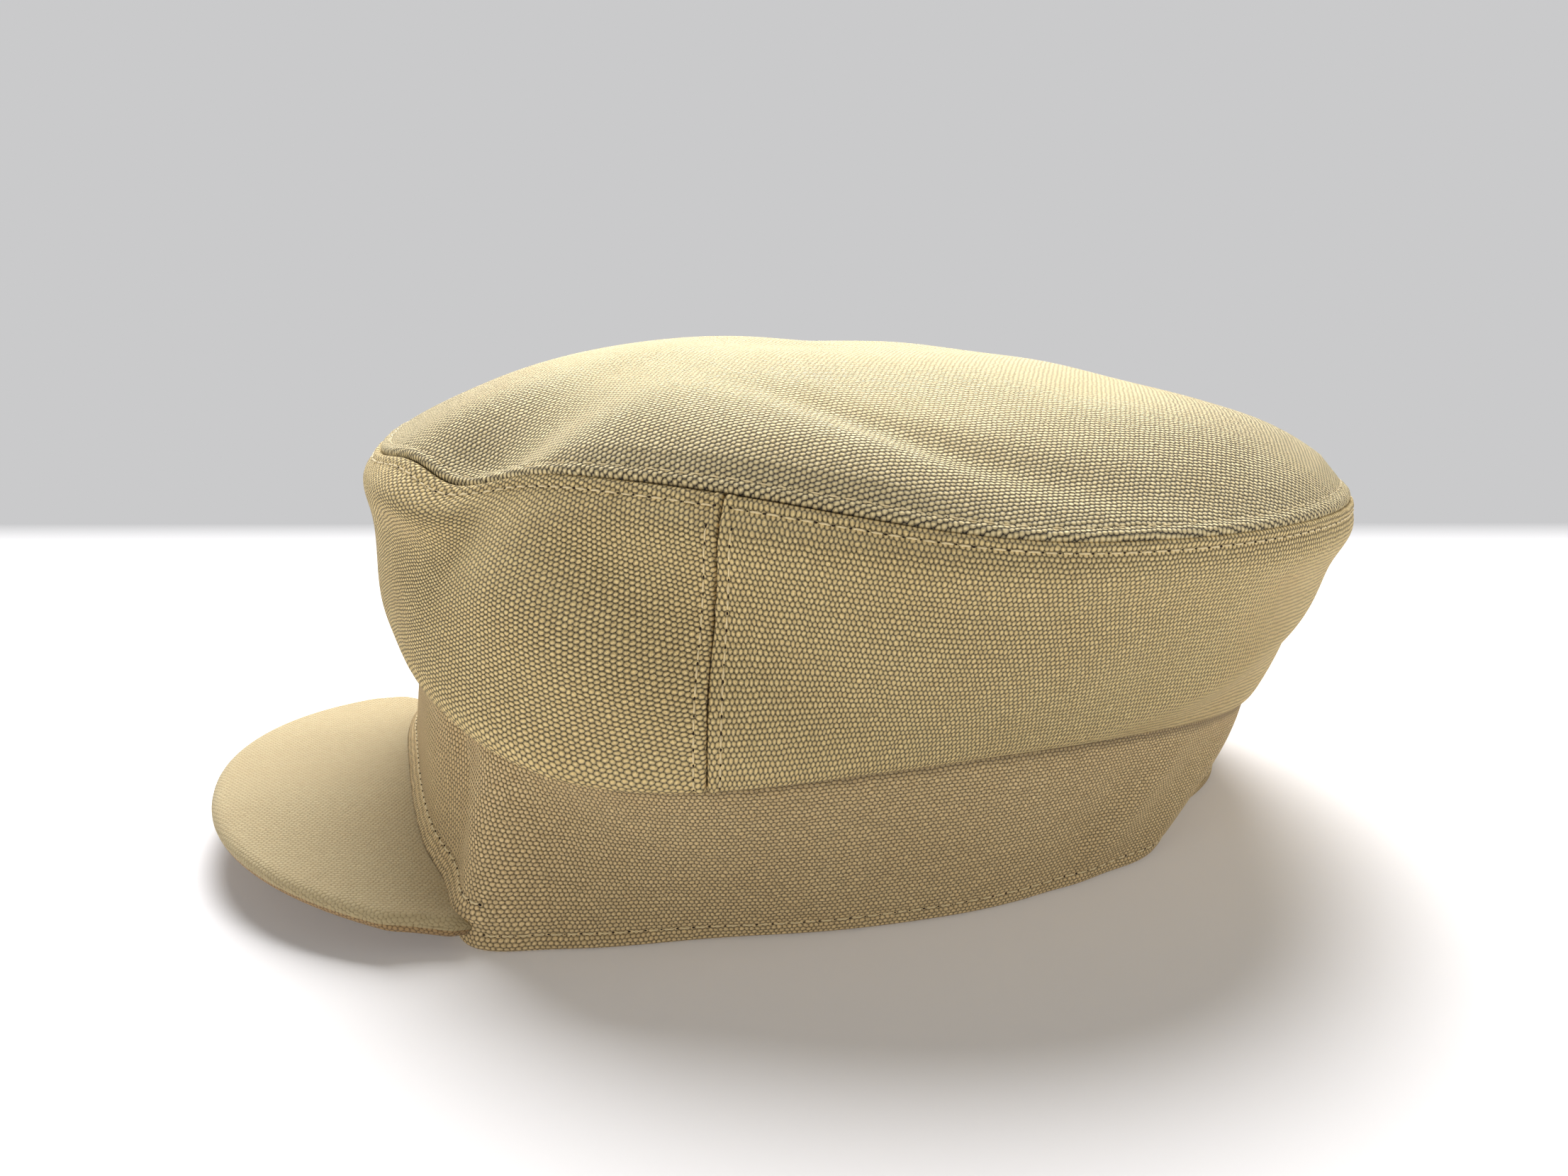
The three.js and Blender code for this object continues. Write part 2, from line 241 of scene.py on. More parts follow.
def cloth_piece(name, outer, inner, grain, closed=False, middle_closed=False):
    """A sewn piece with an outer and an inner face, closed round the cap or with two side edges.
    The grain holds each point's place on the flat cloth in millimetres, with one more column
    than the points where the piece closes."""
    rows, columns = outer.shape[:2]
    numbers = np.arange(rows * columns).reshape(rows, columns)
    if closed:
        numbers = np.concatenate([numbers, numbers[:, :1]], 1)
    inner_numbers = numbers + rows * columns
    flat = np.arange(grain.shape[0] * grain.shape[1]).reshape(grain.shape[:2])
    faces, corners = [], []

    def add(first, second, first_flat, second_flat):
        faces.append(quads_between(first, second).reshape(-1, 4))
        corners.append(quads_between(first_flat, second_flat).reshape(-1, 4))

    add(numbers[:-1], numbers[1:], flat[:-1], flat[1:])
    add(inner_numbers[1:], inner_numbers[:-1], flat[1:], flat[:-1])
    add(inner_numbers[0], numbers[0], flat[0], flat[0])
    if not middle_closed:
        add(numbers[-1], inner_numbers[-1], flat[-1], flat[-1])
    if not closed:
        add(numbers[:, 0], inner_numbers[:, 0], flat[:, 0], flat[:, 0])
        add(inner_numbers[:, -1], numbers[:, -1], flat[:, -1], flat[:, -1])
    faces = np.concatenate(faces).tolist()
    corners = np.concatenate(corners).ravel()
    if middle_closed:
        outer_ring = numbers[-1, :-1].tolist()
        inner_ring = inner_numbers[-1, :-1].tolist()
        faces += [outer_ring, inner_ring[::-1]]
        ring_flat = flat[-1, :-1]
        corners = np.concatenate([corners, ring_flat, ring_flat[::-1]])
    points = np.concatenate([outer.reshape(-1, 3), inner.reshape(-1, 3)]) * MM + CAP_MIDDLE
    mesh = bpy.data.meshes.new(name)
    mesh.from_pydata(points.tolist(), [], faces)
    grain_map = mesh.uv_layers.new(name="grain")
    grain_map.data.foreach_set("uv", grain.reshape(-1, 2)[corners].astype(np.float32).ravel())
    mesh.shade_smooth()
    piece = bpy.data.objects.new(name, mesh)
    bpy.context.scene.collection.objects.link(piece)
    return piece


class Shader:
    """A material whose nodes are added and joined in one call each."""

    def __init__(self, name, **constants):
        self.material = bpy.data.materials.new(name)
        self.material.use_nodes = True
        self.tree = self.material.node_tree
        self.surface = self.tree.nodes["Principled BSDF"]
        for socket, value in constants.items():
            self.surface.inputs[socket.replace("_", " ")].default_value = value

    def node(self, kind, *inputs, output=0, **settings):
        made = self.tree.nodes.new(kind)
        for setting, value in settings.items():
            setattr(made, setting, value)
        for place, value in enumerate(inputs):
            if isinstance(value, bpy.types.NodeSocket):
                self.tree.links.new(value, made.inputs[place])
            elif value is not None:
                made.inputs[place].default_value = value
        return made.outputs[output]

    def math(self, operation, *inputs):
        return self.node("ShaderNodeMath", *inputs, operation=operation)

    def noise(self, place, scale, detail=2.0):
        made = self.tree.nodes.new("ShaderNodeTexNoise")
        self.tree.links.new(place, made.inputs["Vector"])
        made.inputs["Scale"].default_value = scale
        made.inputs["Detail"].default_value = detail
        return made.outputs["Fac"]

    def mixed(self, share, first, second):
        made = self.tree.nodes.new("ShaderNodeMix")
        made.data_type = "RGBA"
        for place, value in ((0, share), (6, first), (7, second)):
            if isinstance(value, bpy.types.NodeSocket):
                self.tree.links.new(value, made.inputs[place])
            else:
                made.inputs[place].default_value = value
        return made.outputs[2]

    def mapped(self, value, low, high, to_low, to_high):
        return self.node("ShaderNodeMapRange", value, low, high, to_low, to_high)


def colour(red, green, blue):
    """A linear colour from the usual 0 to 255 values."""
    return tuple(((c / 255 + 0.055) / 1.055) ** 2.4 for c in (red, green, blue)) + (1,)


# The threads of the weave wander a little, and their tone varies from fibre to fibre, from yarn to
# yarn and in wide patches. Each tone has its fineness and its greatest share of the shaded colour.
DRIFT = dict(fineness=0.35, reach=0.9)
FIBRE_TONE = dict(fineness=2.6, detail=3.0, shade=0.3, relief=0.35)
YARN_TONE = dict(fineness=0.55, shade=0.4)
PATCH_TONE = dict(fineness=0.045, shade=0.35)
NOISE_RANGE = (0.3, 0.7)
# Near the grain's middle the beads flatten and their painted pit shade fades, at most by this share,
# over this length
MIDDLE_SMOOTHING = dict(share=0.55, fade=30)
# How far painted shade under an overhanging edge darkens the cloth towards the pit colour
OVERHANG_PAINTED_SHADE = 0.42


def duck(name, spacing, pitch, lines_run_up, light, shade, pit_shade_colour, plump=(0.7, 0.58),
         bead_height=0.0012, pit_shade_heights=(0.34, 0.92), flat_inside=0.0, overhang_shade_heights=None):
    """Cotton duck: lines of plump beads of thread, each line half a bead along from the next,
    with pits between them. The pits are painted dark and each bead darker towards its rim:
    painted shade. Spacing of the lines and pitch of the beads in millimetres. Two bead heights
    give where the painted shade ends and where the full colour starts. Within a length
    flat_inside from the grain's middle the beads are flatter and their painted shade fainter.
    Two heights on the cloth, if given, set where painted shade under an overhanging edge
    starts and where it is full, darkening the cloth towards the seam above."""
    cloth = Shader(name, Roughness=0.88, Sheen_Weight=0.07, Sheen_Roughness=0.45)
    grain = cloth.node("ShaderNodeUVMap", uv_map="grain")
    drift = cloth.tree.nodes.new("ShaderNodeTexNoise")
    cloth.tree.links.new(grain, drift.inputs["Vector"])
    drift.inputs["Scale"].default_value = DRIFT["fineness"]
    pulled = cloth.node("ShaderNodeVectorMath", drift.outputs["Color"], (-0.5, -0.5, -0.5))
    pulled = cloth.node("ShaderNodeVectorMath", pulled, (DRIFT["reach"], DRIFT["reach"], 0),
                        operation="MULTIPLY")
    place = cloth.node("ShaderNodeVectorMath", grain, pulled)
    split = cloth.tree.nodes.new("ShaderNodeSeparateXYZ")
    cloth.tree.links.new(place, split.inputs[0])
    across, along = split.outputs[0], split.outputs[1]
    if not lines_run_up:
        across, along = along, across
    line = cloth.math("DIVIDE", across, 2 * spacing)
    bead = cloth.math("DIVIDE", along, pitch)
    heights = []
    for shift in (0.0, 0.5):
        aside = cloth.math("SUBTRACT", cloth.math("FRACT", cloth.math("ADD", line, shift)), 0.5)
        ahead = cloth.math("SUBTRACT", cloth.math("FRACT", cloth.math("ADD", bead, shift)), 0.5)
        aside = cloth.math("MULTIPLY", aside, 2 / plump[0])
        ahead = cloth.math("MULTIPLY", ahead, 1 / plump[1])
        squares = cloth.math("ADD", cloth.math("POWER", aside, 2.0), cloth.math("POWER", ahead, 2.0))
        heights.append(cloth.math("SUBTRACT", 1.0, squares))
    height = cloth.math("SQRT", cloth.math("MAXIMUM", cloth.math("MAXIMUM", *heights), 0.0))
    fibre = cloth.noise(place, FIBRE_TONE["fineness"], FIBRE_TONE["detail"])
    yarn = cloth.noise(grain, YARN_TONE["fineness"])
    patch = cloth.noise(grain, PATCH_TONE["fineness"])
    tone = cloth.mixed(cloth.mapped(patch, *NOISE_RANGE, 0.0, PATCH_TONE["shade"]), light, shade)
    tone = cloth.mixed(cloth.mapped(fibre, *NOISE_RANGE, FIBRE_TONE["shade"], 0.0), tone, shade)
    tone = cloth.mixed(cloth.mapped(yarn, *NOISE_RANGE, YARN_TONE["shade"], 0.0), tone, shade)
    # Painted shade: the pits between the beads and each bead's rim take the dark pit colour
    unshaded_share = cloth.mapped(height, *pit_shade_heights, 0.0, 1.0)
    if flat_inside:
        from_middle = cloth.node("ShaderNodeVectorMath", grain, output=1, operation="LENGTH")
        fade_end = flat_inside + MIDDLE_SMOOTHING["fade"]
        smoothing = cloth.mapped(from_middle, flat_inside, fade_end, MIDDLE_SMOOTHING["share"], 0.0)
        unshaded_share = cloth.math("MAXIMUM", unshaded_share, smoothing)
        height = cloth.math("MULTIPLY", height, cloth.math("SUBTRACT", 1.0, smoothing))
    tone = cloth.mixed(unshaded_share, pit_shade_colour, tone)
    # Painted shade: the cloth darkens towards the seam above, where an overhanging edge shades it
    if overhang_shade_heights:
        tone = cloth.mixed(cloth.mapped(split.outputs[1], *overhang_shade_heights, 0.0, OVERHANG_PAINTED_SHADE), tone, pit_shade_colour)
    cloth.tree.links.new(tone, cloth.surface.inputs["Base Color"])
    relief = cloth.math("ADD", height, cloth.math("MULTIPLY", fibre, FIBRE_TONE["relief"]))
    relief_node = cloth.tree.nodes.new("ShaderNodeBump")
    relief_node.inputs["Distance"].default_value = bead_height
    cloth.tree.links.new(relief, relief_node.inputs["Height"])
    cloth.tree.links.new(relief_node.outputs[0], cloth.surface.inputs["Normal"])
    return cloth.material


# The crown's duck; its dark pit colour is painted shade between the beads
crown_duck = duck("crown_duck", spacing=1.07, pitch=0.95, lines_run_up=True,
                  light=colour(252, 228, 165), shade=colour(226, 195, 131), pit_shade_colour=colour(36, 23, 9))


def crown_wall(at_band, at_top, height, roll_height, droop):
    """The crown's wall from the band at height 0 to the top seam at height 1."""
    low = ring_point(BAND_TOP, at_band)
    high = top_seam_point(at_top)
    low[..., 2] += SEAM_GAP
    high[..., 2] -= SEAM_GAP / 2
    way = unit(ring_normal(BAND_TOP, at_band) * (1 - height) + ring_normal(TOP_SEAM, at_top) * height)
    share = 0.5 + 0.5 * np.cos(np.radians(at_band))
    height = height[..., 0]
    free = 1 - (2 * height - 1) ** CROWN_FOLD_POWER
    roll = (ROLL_BACK + (ROLL_FRONT - ROLL_BACK) * share) * (1 - height)
    out = roll * (1 - np.exp(-height / roll_height)) + BELLY * np.sin(math.pi * height)
    out = out + SHOULDER["out"] * bump(height - SHOULDER["height"], SHOULDER["spread"]) * free
    out = out + folds_at(CROWN_FOLDS, at_band, height) * free
    point = low + (high - low) * height[..., None] + way * out[..., None]
    sag = (DROOP_BACK + (DROOP_FRONT - DROOP_BACK) * share ** 2) * height / DROOP_HEIGHT
    point[..., 2] -= droop * sag * np.exp(1 - height / DROOP_HEIGHT)
    return point, way


# The mesh of a wall, its fine puckers along the top seam, its unevenness, and the ragged fold of
# its side edges, in millimetres
WALL_STEP = 1.15
MEASURED_PLACES = 200
WALL_PUCKER = dict(depth=0.1, reach=5, wave=1.35, drift=2, drift_wave=17)
WALL_UNEVEN = dict(depth=0.32, longest=80, shortest=34, from_edge=6)
RAGGED = (-0.14, 0.1)


def crown_panel(name, first, last, first_top, last_top, grain_turn):
    """One panel of the crown's wall between its two side seams. A turn of the grain bends its
    lines to follow a panel cut as an arc, and with none they run round the cap."""
    middle_line = crown_wall(
        np.linspace(first, last, MEASURED_PLACES), np.linspace(first_top, last_top, MEASURED_PLACES),
        np.full((MEASURED_PLACES, 1), 0.5), ROLL_HEIGHT, 0)[0]
    width = arc_lengths(middle_line)[-1]
    from_side = graded(width, WALL_STEP)
    up = graded(WALL_LENGTH, WALL_STEP)
    share = from_side / width
    height = (up / WALL_LENGTH)[:, None, None]
    at_band = np.broadcast_to(first + (last - first) * share, (len(up), len(share)))
    at_top = np.broadcast_to(first_top + (last_top - first_top) * share, at_band.shape)
    height = np.broadcast_to(height, at_band.shape + (1,))
    base = crown_wall(at_band, at_top, height, ROLL_HEIGHT, 1)[0]
    normal = face_normals(base, False)
    to_side = np.minimum(from_side, width - from_side)[None, :]
    to_top = (WALL_LENGTH - up)[:, None]
    drift = WALL_PUCKER["drift"] * np.sin(from_side / WALL_PUCKER["drift_wave"])
    pucker = WALL_PUCKER["depth"] * np.exp(-to_top / WALL_PUCKER["reach"])
    pucker = pucker * np.sin(from_side / WALL_PUCKER["wave"] + drift)
    uneven = WALL_UNEVEN["depth"] * soft_waves(
        from_side[None, :], up[:, None], WALL_UNEVEN["longest"], WALL_UNEVEN["shortest"])
    to_edge = np.minimum(np.minimum(to_side, to_top), up[:, None])
    settled = 1 - np.exp(-to_edge / WALL_UNEVEN["from_edge"])
    ragged = wave_draw.uniform(*RAGGED, (len(up), 1))
    out = seam_turn(to_side + ragged, *SIDE_SEAM_TURN) + seam_turn(to_top, *TOP_SEAM_TURN)
    out = out + pucker * (1 - np.exp(-to_top)) + uneven * settled
    outer = base + normal * out[..., None]
    inside, way = crown_wall(at_band, at_top, height, ROLL_HEIGHT_INSIDE, 0)
    inner = inside - way * CLOTH
    if grain_turn:
        turn = (share - 0.5) * 2 * grain_turn
        radius = (width / 2 / grain_turn + up - WALL_LENGTH / 2)[:, None]
        grain = np.stack(np.broadcast_arrays(radius * np.sin(turn), radius * np.cos(turn)), -1)
    else:
        grain = np.stack(np.broadcast_arrays(up[:, None], from_side[None, :]), -1)
    piece = cloth_piece(name, outer, inner, grain)
    piece.data.materials.append(crown_duck)
    return piece, outer, normal, from_side, up


front_wall, front_face, front_normal, front_across, front_up = crown_panel(
    "crown_front_cloth", -SIDE_SEAM_AT_BAND, SIDE_SEAM_AT_BAND, -SIDE_SEAM_AT_TOP, SIDE_SEAM_AT_TOP,
    FRONT_GRAIN_TURN)
back_wall, back_face, back_normal, back_across, back_up = crown_panel(
    "crown_back_cloth", SIDE_SEAM_AT_BAND, 360 - SIDE_SEAM_AT_BAND, SIDE_SEAM_AT_TOP,
    360 - SIDE_SEAM_AT_TOP, 0)
for wall, node in ((front_wall, "crown_front"), (back_wall, "crown_back")):
    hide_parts(node)
    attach(wall, "root")

# Each topstitch is a short thread that dives into the cloth at both ends, beside a pricked hole.
# Its rings are at shares of its length from its middle. Sizes in millimetres.
STITCH_PITCH = 3.0
STITCH_LENGTH = 2.55
STITCH_LIFT = 0.13
STITCH_SINK = 0.42
STITCH_DIVE_POWER = 4
STITCH_UNEVEN = (-0.02, 0.16)
FAINT_STITCH_SINK = 0.12
THREAD_RADIUS = 0.2
THREAD_SIDES = 6
THREAD_RINGS = np.array([-0.5, -0.4, -0.2, 0, 0.2, 0.4, 0.5])
HOLE_LENGTH, HOLE_WIDTH = 0.34, 0.26
HOLE_ABOVE, HOLE_BELOW = 0.09, 0.3
HOLE_SIDES = 8
HOLE_SIZES = (0.65, 1.15)
HOLE_AHEAD = 0.3
STITCH_SEED = 11
stitch_draw = np.random.default_rng(STITCH_SEED)

thread_shader = Shader("sewing_thread", Roughness=0.7, Sheen_Weight=0.2)
thread_shader.surface.inputs["Base Color"].default_value = colour(224, 204, 156)
# The pricked holes are dark lenses sunk in the cloth: painted shade inside the holes
hole_painted_shade = Shader("needle_hole_painted_shade", Roughness=1.0)
hole_painted_shade.surface.inputs["Base Color"].default_value = colour(46, 32, 18)


def between(line, lengths, at):
    return np.stack([np.interp(at, lengths, line[:, axis]) for axis in range(3)], -1)


def stitch_row(name, line, normals, bold=1.0, first=0.0):
    """A row of topstitches along a line on the cloth, with a pricked hole between each two. Bold
    is the share of a full stitch that shows, less where the thread has sunk into the weave. The
    row starts and ends a length first from the line's ends."""
    lengths = arc_lengths(line)
    last = lengths[-1] - first
    count = max(1, round((last - first) / STITCH_PITCH))
    pitch = (last - first) / count
    middles = first + pitch * (np.arange(count) + 0.5)
    places = middles[:, None] + THREAD_RINGS * STITCH_LENGTH
    point = between(line, lengths, places.ravel()).reshape(count, -1, 3)
    normal = unit(between(normals, lengths, places.ravel())).reshape(count, -1, 3)
    ahead = unit(np.gradient(point, axis=1))
    aside = unit(np.cross(normal, ahead))
    dive = (2 * np.abs(THREAD_RINGS)) ** STITCH_DIVE_POWER
    lift = STITCH_LIFT - (STITCH_LIFT + STITCH_SINK) * dive
    sunk = stitch_draw.uniform(*STITCH_UNEVEN, (count, 1)) + FAINT_STITCH_SINK * (1 - bold)
    centre = point + normal * (lift[None] - sunk)[..., None]
    turn = np.arange(THREAD_SIDES) * 2 * math.pi / THREAD_SIDES
    ring = aside[:, :, None] * np.cos(turn)[:, None] + normal[:, :, None] * np.sin(turn)[:, None]
    threads = (centre[:, :, None] + ring * THREAD_RADIUS * (0.5 + 0.5 * bold)).reshape(-1, 3)
    rings = len(THREAD_RINGS)
    numbers = np.arange(count * rings * THREAD_SIDES).reshape(count, rings, THREAD_SIDES)
    round_numbers = np.concatenate([numbers, numbers[..., :1]], -1)
    faces = quads_between(round_numbers[:, 1:], round_numbers[:, :-1]).reshape(-1, 4).tolist()
    faces += numbers[:, 0].tolist() + numbers[:, -1, ::-1].tolist()
    thread_faces = len(faces)
    pricks = first + pitch * np.arange(count + 1)
    spot = between(line, lengths, pricks)
    spot_normal = unit(between(normals, lengths, pricks))
    ahead_of_spot = between(line, lengths, pricks + HOLE_AHEAD)
    behind_spot = between(line, lengths, pricks - HOLE_AHEAD)
    spot_ahead = unit(ahead_of_spot - behind_spot + 1e-9)
    spot_aside = np.cross(spot_normal, spot_ahead)
    rim_turn = np.arange(HOLE_SIDES) * 2 * math.pi / HOLE_SIDES
    pricked = bold * stitch_draw.uniform(*HOLE_SIZES, (count + 1, 1, 1))
    rim = (spot[:, None] + pricked * spot_ahead[:, None] * HOLE_LENGTH * np.cos(rim_turn)[:, None]
           + pricked * spot_aside[:, None] * HOLE_WIDTH * np.sin(rim_turn)[:, None])
    above = spot + spot_normal * HOLE_ABOVE * bold
    below = spot - spot_normal * HOLE_BELOW
    start = len(threads)
    holes = np.concatenate([rim, above[:, None], below[:, None]], 1).reshape(-1, 3)
    for hole in range(count + 1):
        base = start + hole * (HOLE_SIDES + 2)
        for side in range(HOLE_SIDES):
            following = (side + 1) % HOLE_SIDES
            faces.append([base + side, base + following, base + HOLE_SIDES])
            faces.append([base + following, base + side, base + HOLE_SIDES + 1])
    mesh = bpy.data.meshes.new(name)
    mesh.from_pydata((np.concatenate([threads, holes]) * MM + CAP_MIDDLE).tolist(), [], faces)
    mesh.materials.append(thread_shader.material)
    mesh.materials.append(hole_painted_shade.material)
    which = np.zeros(len(faces), np.int32)
    which[thread_faces:] = 1
    mesh.polygons.foreach_set("material_index", which)
    mesh.shade_smooth()
    row = bpy.data.objects.new(name, mesh)
    bpy.context.scene.collection.objects.link(row)
    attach(row, "root")


def line_at(grid, distances, at):
    """The line of a grid's points at a distance between its rows."""
    after = int(np.searchsorted(distances, at))
    share = (at - distances[after - 1]) / (distances[after] - distances[after - 1])
    return grid[after - 1] * (1 - share) + grid[after] * share


# The side seams' rows stop short of the roll at the bottom and of the seam at the top
CLEAR_OF_ENDS = slice(8, -14)
for side, face, normal, across, up in (
        ("front", front_face, front_normal, front_across, front_up),
        ("back", back_face, back_normal, back_across, back_up)):
    under_top = WALL_LENGTH - TOPSTITCH
    stitch_row(f"{side}_top_seam_stitches", line_at(face, up, under_top),
               line_at(normal, up, under_top), first=TOPSTITCH)
    columns, column_normals = face.swapaxes(0, 1), normal.swapaxes(0, 1)
    for hand, at in (("left", TOPSTITCH if side == "back" else across[-1] - TOPSTITCH),
                     ("right", across[-1] - TOPSTITCH if side == "back" else TOPSTITCH)):
        stitch_row(f"{side}_{hand}_side_seam_stitches", line_at(columns, across, at)[CLEAR_OF_ENDS],
                   line_at(column_normals, across, at)[CLEAR_OF_ENDS])

# The top panel: one oval of the same duck, domed, sewn round its edge to the crown's walls and
# topstitched close to the seam. Its rim is uneven where the cloth has been squeezed and handled.
DOME = dict(rise=25.8, full_front=2.85, full_back=2.95, middle=9.6, base=78.9, rim_free=0.06,
            pole_free=0.2, dent_fade=3)

# Folds of the top panel, whose height is the share of the way from its middle to the seam
TOP_FOLDS = [
    dict(at=23, height=0.91, spread=6, reach=0.12, slant=-20, out=-3),  # groove from the pinch
    dict(at=36, height=0.86, spread=8, reach=0.13, slant=0, out=1.6),  # swell behind it
    dict(at=53, height=0.9, spread=7, reach=0.1, slant=0, out=1.8),  # first side swell
    dict(at=67, height=0.9, spread=6, reach=0.1, slant=0, out=1.8),  # second side swell
    dict(at=79, height=0.8, spread=7, reach=0.12, slant=160, out=-1.6),  # slanting crease
    dict(at=158, height=0.87, spread=30, reach=0.13, slant=0, out=3.6),  # full back
]
DOME_RADIUS = 105
DOME_STEP = 1.6
DOME_COLUMNS = 580
DOME_MIDDLE_FACE = 1.5
DOME_PUCKER = dict(depth=0.1, reach=6, count=83)
DOME_UNEVEN = dict(depth=0.34, longest=85, shortest=36, from_edge=8)

# The top panel's duck is a paler, less yellow copy of the crown's: painted highlight where the top faces
# the light
top_duck_painted_highlight = duck("top_duck_painted_highlight", spacing=0.95, pitch=1.12, lines_run_up=True, plump=(0.6, 0.64),
                flat_inside=66, pit_shade_heights=(0.38, 0.94), bead_height=0.0013, light=colour(250, 233, 182),
                shade=colour(230, 204, 144), pit_shade_colour=colour(44, 30, 12))


def dome_point(angle, reach):
    """The top panel from its seam at reach 1 to its middle at reach 0."""
    seam = top_seam_point(angle, reach ** DOME["dent_fade"])
    back_share = 0.5 - 0.5 * np.cos(np.radians(angle))
    fullness = DOME["full_front"] + (DOME["full_back"] - DOME["full_front"]) * back_share
    free = np.minimum(1, np.minimum((1 - reach) / DOME["rim_free"], reach / DOME["pole_free"]))
    point = np.empty(seam.shape)
    point[..., 0] = seam[..., 0] * reach
    point[..., 1] = DOME["middle"] + (seam[..., 1] - DOME["middle"]) * reach
    point[..., 2] = DOME["base"] + (seam[..., 2] + SEAM_GAP / 2 - DOME["base"]) * reach
    point[..., 2] += DOME["rise"] * (1 - reach ** fullness) + free * folds_at(TOP_FOLDS, angle, reach)
    return point


from_rim = graded(DOME_RADIUS, DOME_STEP)
from_rim = from_rim[from_rim < DOME_RADIUS - DOME_MIDDLE_FACE]
dome_angle, dome_reach = np.meshgrid(
    np.arange(DOME_COLUMNS) * 360 / DOME_COLUMNS, 1 - from_rim / DOME_RADIUS)
dome_base = dome_point(dome_angle, dome_reach)
dome_normal = face_normals(dome_base, True)
to_rim = np.broadcast_to(from_rim[:, None], dome_angle.shape)
dome_out = seam_turn(to_rim, *TOP_SEAM_TURN)
dome_pucker = DOME_PUCKER["depth"] * np.exp(-to_rim / DOME_PUCKER["reach"]) * (1 - np.exp(-to_rim))
dome_out = dome_out + dome_pucker * np.sin(np.radians(dome_angle) * DOME_PUCKER["count"])
dome_settled = 1 - np.exp(-to_rim / DOME_UNEVEN["from_edge"])
dome_out = dome_out + DOME_UNEVEN["depth"] * dome_settled * soft_waves(
    dome_base[..., 0], dome_base[..., 1], DOME_UNEVEN["longest"], DOME_UNEVEN["shortest"])
dome_face = dome_base + dome_normal * dome_out[..., None]
dome_inner = dome_base - dome_normal * CLOTH
dome_inner[0] = dome_base[0] - outward(dome_angle[0]) * CLOTH
from_middle = dome_base[::-1] - [0, DOME["middle"], 0]
cloth_steps = np.linalg.norm(np.diff(dome_base[::-1], axis=0), axis=-1)
cloth_reach = np.linalg.norm(from_middle[:1, :, :2], axis=-1) + np.concatenate(
    [np.zeros((1, DOME_COLUMNS)), np.cumsum(cloth_steps, axis=0)])
dome_grain = (unit(from_middle[..., :2]) * cloth_reach[..., None])[::-1]
dome_grain = np.concatenate([dome_grain, dome_grain[:, :1]], 1)
top_panel = cloth_piece(
    "crown_top_cloth", dome_face, dome_inner, dome_grain, closed=True, middle_closed=True)
top_panel.data.materials.append(top_duck_painted_highlight)
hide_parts("crown_top")
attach(top_panel, "root")


def closed_line(line):
    return np.concatenate([line, line[:1]])


stitch_row("top_panel_stitches", closed_line(line_at(dome_face, from_rim, TOPSTITCH)),
           closed_line(line_at(dome_normal, from_rim, TOPSTITCH)), bold=0.45)

# The band: a strip of the same duck with its grain turned, sewn inside the crown's lower edge.
# Its lower edge is folded under and stitched a little above the fold. It stands on the surface
# and arches slightly off it under the peak.
PEAK_CORNER = 36
SEWN_CORNER = PEAK_CORNER + 1
HEM_ARCH = 4
BAND_LENGTH = 38
HEM_STITCH = 3.2
HEM_ROUND = 0.95
HEM_PLACES = 721
BAND_STEP = 1.1
BAND_COLUMNS = 560

# Folds of the band, with heights and reaches as shares of its height. They die out towards the
# seam under the crown, and not towards the free hem.
BAND_FOLDS = [
    dict(at=35.5, height=0.3, spread=3.6, reach=0.75, slant=-2, out=5.4),  # front corner ridge
    dict(at=27, height=0.78, spread=1.7, reach=0.15, slant=-22, out=1.3),  # pleat by the corner
    dict(at=22.5, height=0.82, spread=1.6, reach=0.14, slant=-18, out=-1.2),  # hollow beside it
    dict(at=26, height=0.72, spread=4.6, reach=0.33, slant=-6, out=-3.4),  # hollow over the peak
    dict(at=53, height=0.3, spread=10, reach=0.75, slant=-16, out=-4),  # hollow behind the ridge
    dict(at=98, height=0, spread=24, reach=0.75, slant=0, out=2.4),  # side swell
    dict(at=116, height=0.5, spread=2.6, reach=0.28, slant=16, out=-0.9),  # back crease
    dict(at=123, height=0.45, spread=2.8, reach=0.3, slant=20, out=1.3),  # fold behind it
    dict(at=136, height=0.35, spread=5, reach=0.75, slant=26, out=2.4),  # back ridge
    dict(at=150, height=0.3, spread=8, reach=0.75, slant=24, out=-4.2),  # back recess
    dict(at=-38, height=0.2, spread=6.5, reach=0.75, slant=3, out=3.8),  # far corner ridge
    dict(at=-55, height=0.3, spread=12, reach=0.75, slant=12, out=-3),  # far hollow
]
BAND_FOLD_POWER = 6

# The peak's outline and its seat on the band, where a raised strip and a row of stitches cover
# the joint, in millimetres
PEAK = dict(half_width=78, oval_middle=-44.8, front=-137, square=2.14, corner_x=66.6, thickness=4,
            z_corner=6, z_tip=11, corner_pull=0.6, corner_share=0.9, over_hem=2.2,
            seat_height=0.1, seat_spread=0.05)
JOINT_STITCH = 3.0
JOINT_LIFT = 0.16
JOINT_SINK = 0.4
JOINT_STRIP, STRIP_OUT, STRIP_POWER = 3.0, 2.2, 1.3
STRIP_END = 0.7

# How the folded hem swells, how deep its stitches sink and how uneven the cloth lies
HEM_PADDED = dict(depth=0.1, at=1.6, spread=1)
STITCH_GROOVE = dict(depth=0.22, spread=0.5)
BAND_UNEVEN = dict(depth=0.36, longest=70, shortest=26, from_hem=9, from_seam=5)

